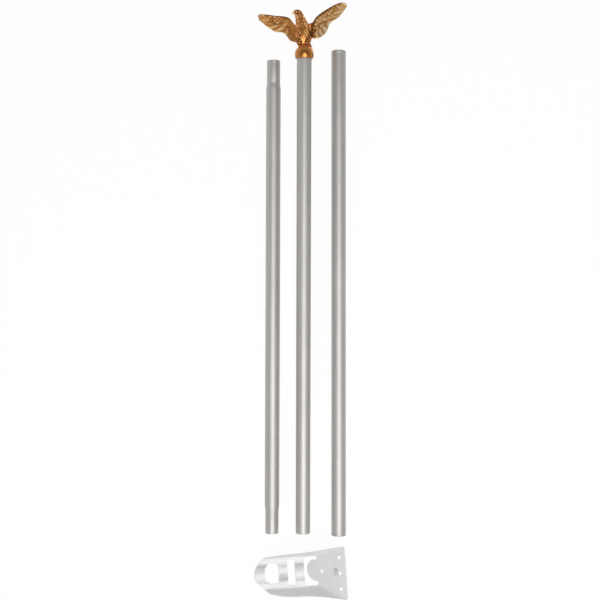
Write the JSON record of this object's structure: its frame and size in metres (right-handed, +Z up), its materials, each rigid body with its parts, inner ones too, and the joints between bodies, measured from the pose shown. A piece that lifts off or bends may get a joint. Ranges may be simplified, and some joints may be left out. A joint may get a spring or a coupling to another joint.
{
  "type": "household flagpole kit",
  "caption": "Sectional aluminium household flagpole laid out in its parts: tube sections with swaged joints, a gold eagle finial on a ball, and a stamped wall bracket for the pole's foot.",
  "frame": {"origin": "middle of the laid-out kit, on the surface that it lies on", "axes": "+X across the tubes, +Y along them towards the finial, +Z up from the surface"},
  "size_m": [0.1229, 0.7837, 0.0395],
  "materials": {
    "tube_aluminium": "satin, bright drawn tube",
    "gold_plate": "bright gold plating on moulded plastic",
    "bright_sheet": "bright rolled sheet, lightly brushed"
  },
  "bodies": {
    "root": {"bottom_section": "tube_aluminium", "middle_section": "tube_aluminium", "top_section": "tube_aluminium", "finial_ball": "gold_plate", "finial_eagle": "gold_plate", "wall_bracket": "bright_sheet"}
  },
  "joints": []
}
